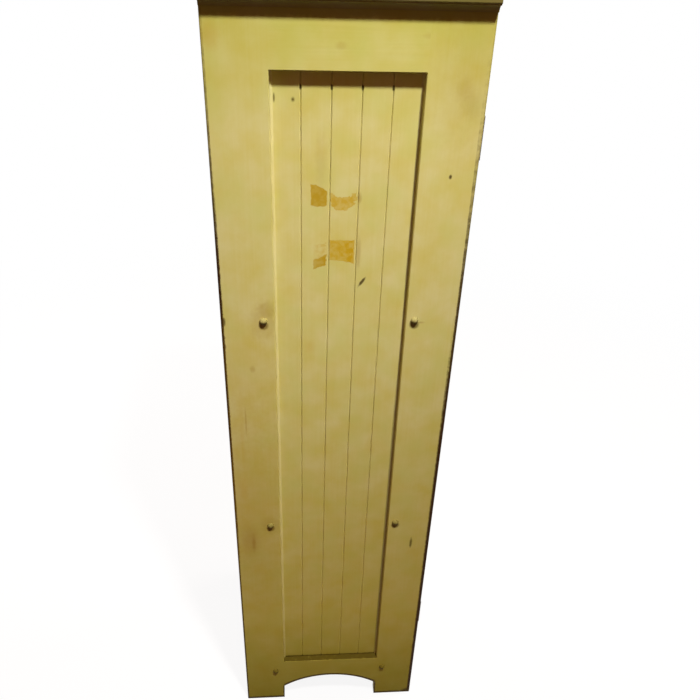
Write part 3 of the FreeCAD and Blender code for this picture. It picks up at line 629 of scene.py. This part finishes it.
def rail_marks():
    """Smudges on the top rail."""
    return [
        stain(216, 1743.5, 8, 5, 0.2, soft=0.7),
        stain(87, 1754, 7, 5, 0.2, soft=0.7),
        stain(353, 1760, 9, 4, 0.15, soft=0.7),
    ]


def plug_height(level):
    """Height in millimetres of the plugs at a shelf: its middle."""
    low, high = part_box(f"{level}_shelf")
    return (low.z + high.z) / 2 / MM


def plug_dirt_and_shade():
    """Darkening of each plug, thickest on its lower half and on the lower plugs: partly dirt that hands and
    dusters left, and partly painted shade that dulls the lit caps and darkens the lower halves.
    """
    dirt = []
    for level, all_over in (("bottom", 0.77), ("lower", 0.67), ("upper", 0.52)):
        up = plug_height(level)
        for along in PLUGS_ALONG_MM:
            # All over: partly dirt, partly painted shade that dulls the lit cap. Below: painted shade on the
            # lower half.
            dirt.append(side_mark(along, up, 14, 14, "dirt_and_shade", strength=all_over, soft=0.5, ragged=0.4))
            dirt.append(side_mark(along, up - 5, 10, 5.5, "dirt_and_shade", strength=0.75, soft=0.5, ragged=0.4))
    return dirt


def shadow_under_plugs(along):
    """Painted shadow on a stile under each plug at one distance from the rear edge, rounding out its cast
    shadow.
    """
    return [side_mark(along, plug_height(level) - 9.5, 9, 9.5, "dirt_and_shade", strength=0.7, soft=0.3, ragged=0.2)
            for level in ("lower", "upper")]


def hand_marks():
    """Grease from hands round the knob."""
    low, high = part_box("latch_knob")
    centre = (low + high) / 2
    return [Mark(centre, (70 * MM, ENDLESS, 95 * MM), "stain", strength=0.22, soft=0.9, ragged=1.0),
            Mark(centre, (30 * MM, ENDLESS, 34 * MM), "stain", strength=0.25, soft=0.8, ragged=0.8)]


class CABINET_OT_paint_sides(bpy.types.Operator):
    """Paints both framed sides, with painted shade under and on the plugs, and the photographed one's own
    wear and painted shade
    """
    bl_idname = "cabinet.paint_sides"
    bl_label = "Paint the sides"

    def execute(self, context):
        first_seam = (FRONT_Y + REAR_Y + SIDE_PITCH) / 2
        row = Boards("Y", first_seam, SIDE_PITCH)
        for side in ("left", "right"):
            seen = side == "left"
            boards = numbered(f"{side}_board", PANEL_BOARDS)
            board_marks = panel_marks() if seen else [panel_foot_dirt(SIDE_LEDGE)]
            paint_nodes(boards, f"{side} boards", context, "Z", board_marks, row=row)
            edges = rubbed_edges(-1 if seen else 1)
            stiles = zip(("rear", "front"), PLUGS_ALONG_MM, (rear_stile_marks, front_stile_marks))
            for end, along, own_marks in stiles:
                wear_and_shade = edges + shadow_under_plugs(along) + (own_marks() if seen else [])
                paint_nodes([f"{side}_{end}_stile"], f"{side} {end} stile", context, "Z", wear_and_shade)
            rails = [ledge_dirt(SIDE_LEDGE), arch_line(), SOOT_AND_SHADE] + (rail_marks() if seen else [])
            paint_nodes([f"{side}_top_rail", f"{side}_bottom_rail"], f"{side} rails", context, "Y", rails)
        paint_nodes(["left_button_plugs", "right_button_plugs"], "button plugs", context, "Z", plug_dirt_and_shade())
        return {"FINISHED"}


class CABINET_OT_paint_front(bpy.types.Operator):
    """Paints the door, the front rails and the knob"""
    bl_idname = "cabinet.paint_front"
    bl_label = "Paint the front"

    def execute(self, context):
        boards = numbered("door_board", PANEL_BOARDS)
        row = Boards("X", DOOR_PITCH / 2, DOOR_PITCH)
        paint_nodes(boards, "door boards", context, "Z", [panel_foot_dirt(DOOR_LEDGE)], row=row)
        paint_nodes(["door_hinge_stile", "door_latch_stile"], "door stiles", context, "Z", hand_marks())
        dirty = [ledge_dirt(DOOR_LEDGE)]
        paint_nodes(["door_top_rail", "door_bottom_rail"], "door rails", context, "X", dirty)
        paint_nodes(["front_header_rail", "front_apron"], "front rails", context, "X", [FOOT_DIRT])
        paint_nodes(["latch_knob"], "knob", context, "Y", hand_marks())
        return {"FINISHED"}


class CABINET_OT_paint_top(bpy.types.Operator):
    """Paints the top and its mouldings, with a darkened cove and edge, partly dirt and partly painted shade,
    and a dusty upper face
    """
    bl_idname = "cabinet.paint_top"
    bl_label = "Paint the top"

    def execute(self, context):
        # Darkening of the cove and the top's edge: partly dirt, partly painted shade where they face down
        # under the overhang.
        wear_and_shade = [level_band(CASE_TOP - 4 * MM, 17, "dirt_and_shade", strength=0.6),
                level_band(CASE_TOP + 9 * MM, 8, "dirt_and_shade", strength=0.55)]
        paint_nodes(["top_board", "left_cove_moulding", "right_cove_moulding"], "top", context, "Y", wear_and_shade,
                    films=TOP_FILMS)
        return {"FINISHED"}


class CABINET_OT_bare_timber(bpy.types.Operator):
    """Gives the shelves, back, cleats and latch bar their bare pine"""
    bl_idname = "cabinet.bare_timber"
    bl_label = "Bare timber"

    def execute(self, context):
        timber = context.scene.cabinet_timber
        finish(SHELVES, bare_pine("bare pine, grain across", timber, "X"))
        row = Boards("X", BACK_BOARD[0].x, BACK_PITCH)
        finish(numbered("back_board", BACK_BOARDS), bare_pine("bare pine of the back", timber, "Z", row))
        finish(["latch_keeper", "latch_bar"], bare_pine("bare pine, grain upright", timber, "Z"))
        finish(["left_top_cleat", "right_top_cleat", "latch_spindle"],
               bare_pine("bare pine, grain front to back", timber, "Y"))
        return {"FINISHED"}


class CABINET_OT_hinge_iron(bpy.types.Operator):
    """Gives the hinges their dull iron"""
    bl_idname = "cabinet.hinge_iron"
    bl_label = "Hinge iron"

    def execute(self, context):
        iron = context.scene.cabinet_iron
        leaves = [f"{level}_hinge_{part}" for level in ("upper", "lower")
                  for part in ("case_leaf", "door_leaf", "pin")]
        finish(leaves, dull_iron("dull iron of hinges", iron))
        return {"FINISHED"}


# Small fixings

def heads_mesh(name, places, facing, radius, rise, sunk, slot_width=0.0):
    """Round heads, all facing one way.

    A head is a grid of two parameters, a and b, each from -1 to 1, drawn out to a disc: the place across is
    the radius times a times the root of one less half of b squared, and the place up is the same with a and
    b changed over. Its height is the rise times one less the dome's share of the squared distance from the
    middle in radii. A slotted head is two half discs with the slot between them, b running from 0 to 1 above
    the slot and its mirror image below. A flat grid closes each from behind, and a ring of faces joins the
    two grids.
    """
    steps = 9
    dome = 0.7
    first = 0 if slot_width else -1
    a, b = np.meshgrid(np.linspace(-1, 1, steps), np.linspace(first, 1, steps), indexing="ij")
    across = radius * a * np.sqrt(1 - b ** 2 / 2)
    above = slot_width / 2 + (radius - slot_width / 2) * b * np.sqrt(1 - a ** 2 / 2)
    height = rise * (1 - dome * (across ** 2 + above ** 2) / radius ** 2)
    out = np.array(facing, float)
    right = np.cross(out, [0, 0, 1]) if abs(out[2]) < 0.5 else np.array([1.0, 0, 0])
    up = np.cross(out, right)
    index = np.arange(steps * steps).reshape(steps, steps)
    grid = np.stack([index[:-1, :-1], index[1:, :-1], index[1:, 1:], index[:-1, 1:]], -1).reshape(-1, 4)
    rim = np.concatenate([index[:-1, 0], index[-1, :-1], index[:0:-1, -1], index[0, :0:-1]])
    after = np.roll(rim, -1)
    behind = steps * steps
    skirt = np.stack([rim + behind, after + behind, after, rim], -1)
    quads = np.concatenate([grid, grid[:, ::-1] + behind, skirt])
    points, faces = [], []
    for side in ((1, -1) if slot_width else (1,)):
        flat = across[..., None] * right + side * above[..., None] * up
        shell = np.stack([flat + height[..., None] * out, flat - sunk * out]).reshape(-1, 3)
        ring = quads if side == 1 else quads[:, ::-1]
        shift = (len(points) * len(places) + np.arange(len(places))) * len(shell)
        points.append((np.array(places, float)[:, None, :] + shell[None]).reshape(-1, 3))
        faces.append((ring[None] + shift[:, None, None]).reshape(-1, 4))
    mesh = bpy.data.meshes.new(name)
    mesh.from_pydata(np.concatenate(points).tolist(), [], np.concatenate(faces).tolist())
    return mesh


def put(name, data):
    """Puts a new object in the scene."""
    made = bpy.data.objects.new(name, data)
    bpy.context.scene.collection.objects.link(made)
    return made


def seat_piece(name, mesh, body, material):
    """Puts a new piece in the scene on the body that it is fixed to."""
    mesh.materials.append(material)
    piece = put(name, mesh)
    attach(piece, body)


def bead_mesh(name, corners, reach, low, high):
    """Hollow beads, each in the upright corner between a stile's edge and the boards.

    A bead is a profile carried up a straight line. The profile is a quarter circle of the given reach,
    hollow side out, from the boards to the stile's edge, and it closes behind in the corner. Each corner
    gives a point of the line and the two level directions out of the corner, off the boards and off the
    stile. The reach swells and shrinks by up to a twentieth as the line rises, in a slow wave and a quicker
    one, as hand-planed trim does.
    """
    steps = 64
    turn = np.linspace(0, np.pi / 2, 9)
    arc = np.stack([1 - np.cos(turn), 1 - np.sin(turn)], -1)
    behind = -0.03
    profile = np.concatenate([arc, [[behind, behind]]])
    rise = np.linspace(low, high, steps)
    slow, quick = 9.1, 23.7
    swell = reach * (1 + 0.03 * np.sin(rise * slow) + 0.02 * np.sin(rise * quick))
    points, faces = [], []
    count = len(profile)
    row = np.arange(steps - 1)[:, None] * count
    step = np.arange(count)[None, :]
    after = (step + 1) % count
    quads = np.stack([row + step, row + after, row + count + after, row + count + step], -1).reshape(-1, 4)
    for corner, off_boards, off_stile in corners:
        sweep = (profile[None, :, :1] * off_boards + profile[None, :, 1:] * off_stile) * swell[:, None, None]
        sweep = sweep + np.array(corner)
        sweep[..., 2] = rise[:, None]
        flip = np.cross(off_boards, off_stile)[2] > 0
        first = len(points) * steps * count
        ring = quads[:, ::-1] if flip else quads
        ends = [np.arange(count), (steps - 1) * count + np.arange(count)[::-1]]
        faces += (ring + first).tolist()
        faces += [((end if flip else end[::-1]) + first).tolist() for end in ends]
        points.append(sweep.reshape(-1, 3))
    mesh = bpy.data.meshes.new(name)
    mesh.from_pydata(np.concatenate(points).tolist(), [], faces)
    return mesh


class CABINET_OT_beads(bpy.types.Operator):
    """Fits the hollow beads between the stiles and the boards of the sides and the door"""
    bl_idname = "cabinet.beads"
    bl_label = "Panel beads"

    def execute(self, context):
        reach = context.scene.cabinet_paint.bead
        # Painted highlight that keeps the beads pale, fading lower down, and painted shadow on the sides'
        # front beads.
        painted_highlight = level_band(1.15, 1050, "rubbed", strength=0.25, soft=0.4, ragged=0.5)
        shaded = side_mark(352, 935, 5, 760, "dirt_and_shade", strength=0.45, soft=0.2, ragged=0.3, boxy=True)
        material = cream_paint("cream paint on panel beads", context, "Z", [painted_highlight, shaded])
        low, high = SIDE_LEDGE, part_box("left_top_rail")[0].z
        for side, sign in (("left", -1), ("right", 1)):
            low_corner, high_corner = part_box(f"{side}_board_1")
            face_x = low_corner.x if side == "left" else high_corner.x
            corners = [((face_x, PANEL_REAR_Y, 0), (sign, 0, 0), (0, -1, 0)),
                       ((face_x, PANEL_FRONT_Y, 0), (sign, 0, 0), (0, 1, 0))]
            beads = bead_mesh("beads", corners, reach, low, high)
            seat_piece(f"{side}_panel_beads", beads, "carcase", material)
        face_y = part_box("door_board_1")[0].y
        left_x, right_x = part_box("door_hinge_stile")[1].x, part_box("door_latch_stile")[0].x
        corners = [((left_x, face_y, 0), (0, -1, 0), (1, 0, 0)),
                   ((right_x, face_y, 0), (0, -1, 0), (-1, 0, 0))]
        beads = bead_mesh("beads", corners, reach, DOOR_LEDGE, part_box("door_top_rail")[0].z)
        seat_piece("door_panel_beads", beads, "door", material)
        return {"FINISHED"}


class CABINET_OT_screws(bpy.types.Operator):
    """Drives screws into the hinge leaves, the keeper and the top cleats"""
    bl_idname = "cabinet.screws"
    bl_label = "Screws"

    def execute(self, context):
        iron = context.scene.cabinet_iron
        material = dull_iron("dull iron of screws", iron)
        shape = dict(radius=iron.screw_radius, rise=iron.screw_rise, sunk=iron.sunk,
                     slot_width=iron.slot_width)
        shares = (np.arange(iron.leaf_screws) + 0.5) / iron.leaf_screws
        leaves = (("case", "carcase", INNER_X, (1, 0, 0)),
                  ("door", "door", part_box("door_hinge_stile")[0].x, (-1, 0, 0)))
        for leaf, body, x, facing in leaves:
            places = []
            for level in ("upper", "lower"):
                low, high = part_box(f"{level}_hinge_{leaf}_leaf")
                places += [(x, (FRONT_Y + high.y) / 2, z) for z in spread(low.z, high.z, shares)]
            seat_piece(f"hinge_{leaf}_screws", heads_mesh("screws", places, facing, **shape), body, material)
        low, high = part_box("latch_keeper")
        x = (low.x + high.x) / 2
        places = [(x, high.y, z) for z in spread(low.z, high.z, QUARTERS)]
        seat_piece("keeper_screws", heads_mesh("screws", places, (0, 1, 0), **shape), "carcase", material)
        places = []
        for side in ("left", "right"):
            low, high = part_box(f"{side}_top_cleat")
            x = (low.x + high.x) / 2
            places += [(x, y, low.z) for y in spread(low.y, high.y, NEAR_ENDS)]
        seat_piece("cleat_screws", heads_mesh("screws", places, (0, 0, -1), **shape), "carcase", material)
        return {"FINISHED"}


class CABINET_OT_nails(bpy.types.Operator):
    """Drives nails through the back boards into the shelves, and the one that shows on the side panel"""
    bl_idname = "cabinet.nails"
    bl_label = "Nails"

    def execute(self, context):
        iron = context.scene.cabinet_iron
        material = dull_iron("rusted iron of nails", iron)
        shape = dict(radius=iron.nail_radius, rise=iron.nail_rise, sunk=iron.sunk)
        places = []
        for shelf in SHELVES:
            low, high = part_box(shelf)
            for board in numbered("back_board", BACK_BOARDS):
                left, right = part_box(board)
                places += [(x, REAR_Y, (low.z + high.z) / 2) for x in spread(left.x, right.x, QUARTERS)]
        seat_piece("back_nails", heads_mesh("nails", places, (0, 1, 0), **shape), "carcase", material)
        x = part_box("left_board_1")[0].x
        along, up = PANEL_NAIL_MM
        places = [(x, REAR_Y - along * MM, up * MM)]
        dirty = [side_mark(along, up, 6, 6, "dirt_and_shade", strength=0.8)]
        painted = cream_paint("cream paint on panel nail", context, "Z", dirty)
        seat_piece("panel_nail", heads_mesh("nail", places, (-1, 0, 0), **shape), "carcase", painted)
        return {"FINISHED"}


# Stage: the least white that the floor has, the camera's sensor and how far the camera sees.
LEAST_WHITE = 0.9
SENSOR_MM = 36
SIGHT = 200.0


def background_seen(tree):
    """1 for rays that see the background: the camera's, and those reflected or bent by metal or glass."""
    path = add(tree, "LightPath").node
    mirrored = add(tree, "Math", MAXIMUM,
                   {0: path.outputs["Is Glossy Ray"], 1: path.outputs["Is Transmission Ray"]})
    return add(tree, "Math", MAXIMUM, {0: path.outputs["Is Camera Ray"], 1: mirrored})


def floor_material(stage):
    """Pale matt floor. The camera sees it nearly white with the cabinet's shadow on it, fading to the white
    of the background away from the cabinet, and it throws little light back at the cabinet."""
    material, tree = new_material("pale matt floor")
    seen = background_seen(tree)
    shaded = add(tree, "BsdfDiffuse", None, {"Color": stage.floor})
    dim = add(tree, "BsdfDiffuse", None, {"Color": stage.bounce})
    white = add(tree, "Emission", None, {"Color": (1, 1, 1), "Strength": 1})
    place = add(tree, "TexCoord", out="Object")
    away = add(tree, "VectorMath", {"operation": "LENGTH"}, {0: place}, out="Value")
    fade = add(tree, "MapRange", SMOOTH,
               {"Value": away, "From Min": stage.fade_start, "From Max": stage.fade_end,
                "To Min": LEAST_WHITE})
    pale = add(tree, "MixShader", None, {0: fade, 1: shaded, 2: white})
    surface = add(tree, "MixShader", None, {0: seen, 1: dim, 2: pale})
    add(tree, "OutputMaterial", None, {"Surface": surface})
    return material


def area_lamp(name, place, aim, power, size, spread=math.pi):
    """A square soft lamp that points at a place."""
    lamp = bpy.data.lights.new(name, "AREA")
    lamp.energy = power
    lamp.size = size
    lamp.spread = spread
    holder = put(name, lamp)
    holder.location = place
    holder.rotation_euler = (Vector(aim) - Vector(place)).to_track_quat("-Z", "Y").to_euler()


def white_world(stage):
    """White to the camera, and a dim even light to everything else."""
    world = bpy.data.worlds.new("studio")
    world.use_nodes = True
    tree = world.node_tree
    tree.nodes.clear()
    seen = background_seen(tree)
    dim = add(tree, "Background", None, {"Color": stage.shade, "Strength": stage.ambient})
    white = add(tree, "Background", None, {"Color": (1, 1, 1), "Strength": 1})
    light = add(tree, "MixShader", None, {0: seen, 1: dim, 2: white})
    add(tree, "OutputWorld", None, {"Surface": light})
    bpy.context.scene.world = world


class CABINET_OT_stage(bpy.types.Operator):
    """Sets up the floor, the lamps, the background and the camera"""
    bl_idname = "cabinet.stage"
    bl_label = "Stage"

    def execute(self, context):
        stage = context.scene.cabinet_stage
        reach = stage.floor_reach
        mesh = bpy.data.meshes.new("floor")
        corners = [(-reach, -reach, 0), (reach, -reach, 0), (reach, reach, 0), (-reach, reach, 0)]
        mesh.from_pydata(corners, [], [(0, 1, 2, 3)])
        mesh.materials.append(floor_material(stage))
        floor = put("floor", mesh)
        middle = (0, 0, CASE_TOP / 2)
        key = (SIDE_X - stage.key_out, -stage.key_along, stage.key_height)
        key_aim = (SIDE_X, stage.key_aim_back, stage.key_aim)
        area_lamp("key_lamp", key, key_aim, stage.key_power, stage.key_size, stage.key_spread)
        area_lamp("front_lamp", stage.front_lamp, middle, stage.side_power, stage.side_size)
        area_lamp("rear_lamp", stage.rear_lamp, middle, stage.side_power, stage.side_size)
        white_world(stage)
        camera = bpy.data.cameras.new("camera")
        camera.lens = stage.lens
        camera.sensor_width = SENSOR_MM
        camera.clip_end = SIGHT
        holder = put("camera", camera)
        place = Vector((SIDE_X - stage.camera_out, REAR_Y - stage.camera_along, stage.camera_height))
        aim = Vector((SIDE_X, REAR_Y - stage.aim_along, stage.aim_height))
        look = (aim - place).to_track_quat("-Z", "Y") @ Quaternion((0, 0, 1), stage.roll)
        holder.location = place
        holder.rotation_euler = look.to_euler()
        context.scene.camera = holder
        context.scene.view_settings.view_transform = "Standard"
        return {"FINISHED"}


class CABINET_PT_panel(bpy.types.Panel):
    """Lists the steps that dress the cabinet"""
    bl_idname = "CABINET_PT_panel"
    bl_label = "Cabinet"
    bl_space_type = "VIEW_3D"
    bl_region_type = "UI"
    bl_category = "Cabinet"

    def draw(self, context):
        for step in STEPS:
            self.layout.operator(step.bl_idname)


GROUPS = {"cabinet_paint": CabinetPaint, "cabinet_timber": CabinetTimber, "cabinet_iron": CabinetIron,
          "cabinet_stage": CabinetStage}
STEPS = (CABINET_OT_paint_sides, CABINET_OT_paint_front, CABINET_OT_paint_top, CABINET_OT_bare_timber,
         CABINET_OT_hinge_iron, CABINET_OT_beads, CABINET_OT_screws, CABINET_OT_nails, CABINET_OT_stage)


def register():
    for kind in (*GROUPS.values(), *STEPS, CABINET_PT_panel):
        bpy.utils.register_class(kind)
    for name, kind in GROUPS.items():
        setattr(bpy.types.Scene, name, PointerProperty(type=kind))


def unregister():
    for name in GROUPS:
        delattr(bpy.types.Scene, name)
    for kind in (CABINET_PT_panel, *STEPS, *GROUPS.values()):
        bpy.utils.unregister_class(kind)


def main():
    register()
    bpy.ops.cabinet.paint_sides()
    bpy.ops.cabinet.paint_front()
    bpy.ops.cabinet.paint_top()
    bpy.ops.cabinet.bare_timber()
    bpy.ops.cabinet.hinge_iron()
    bpy.ops.cabinet.beads()
    bpy.ops.cabinet.screws()
    bpy.ops.cabinet.nails()
    bpy.ops.cabinet.stage()


if __name__ == "__main__":
    main()
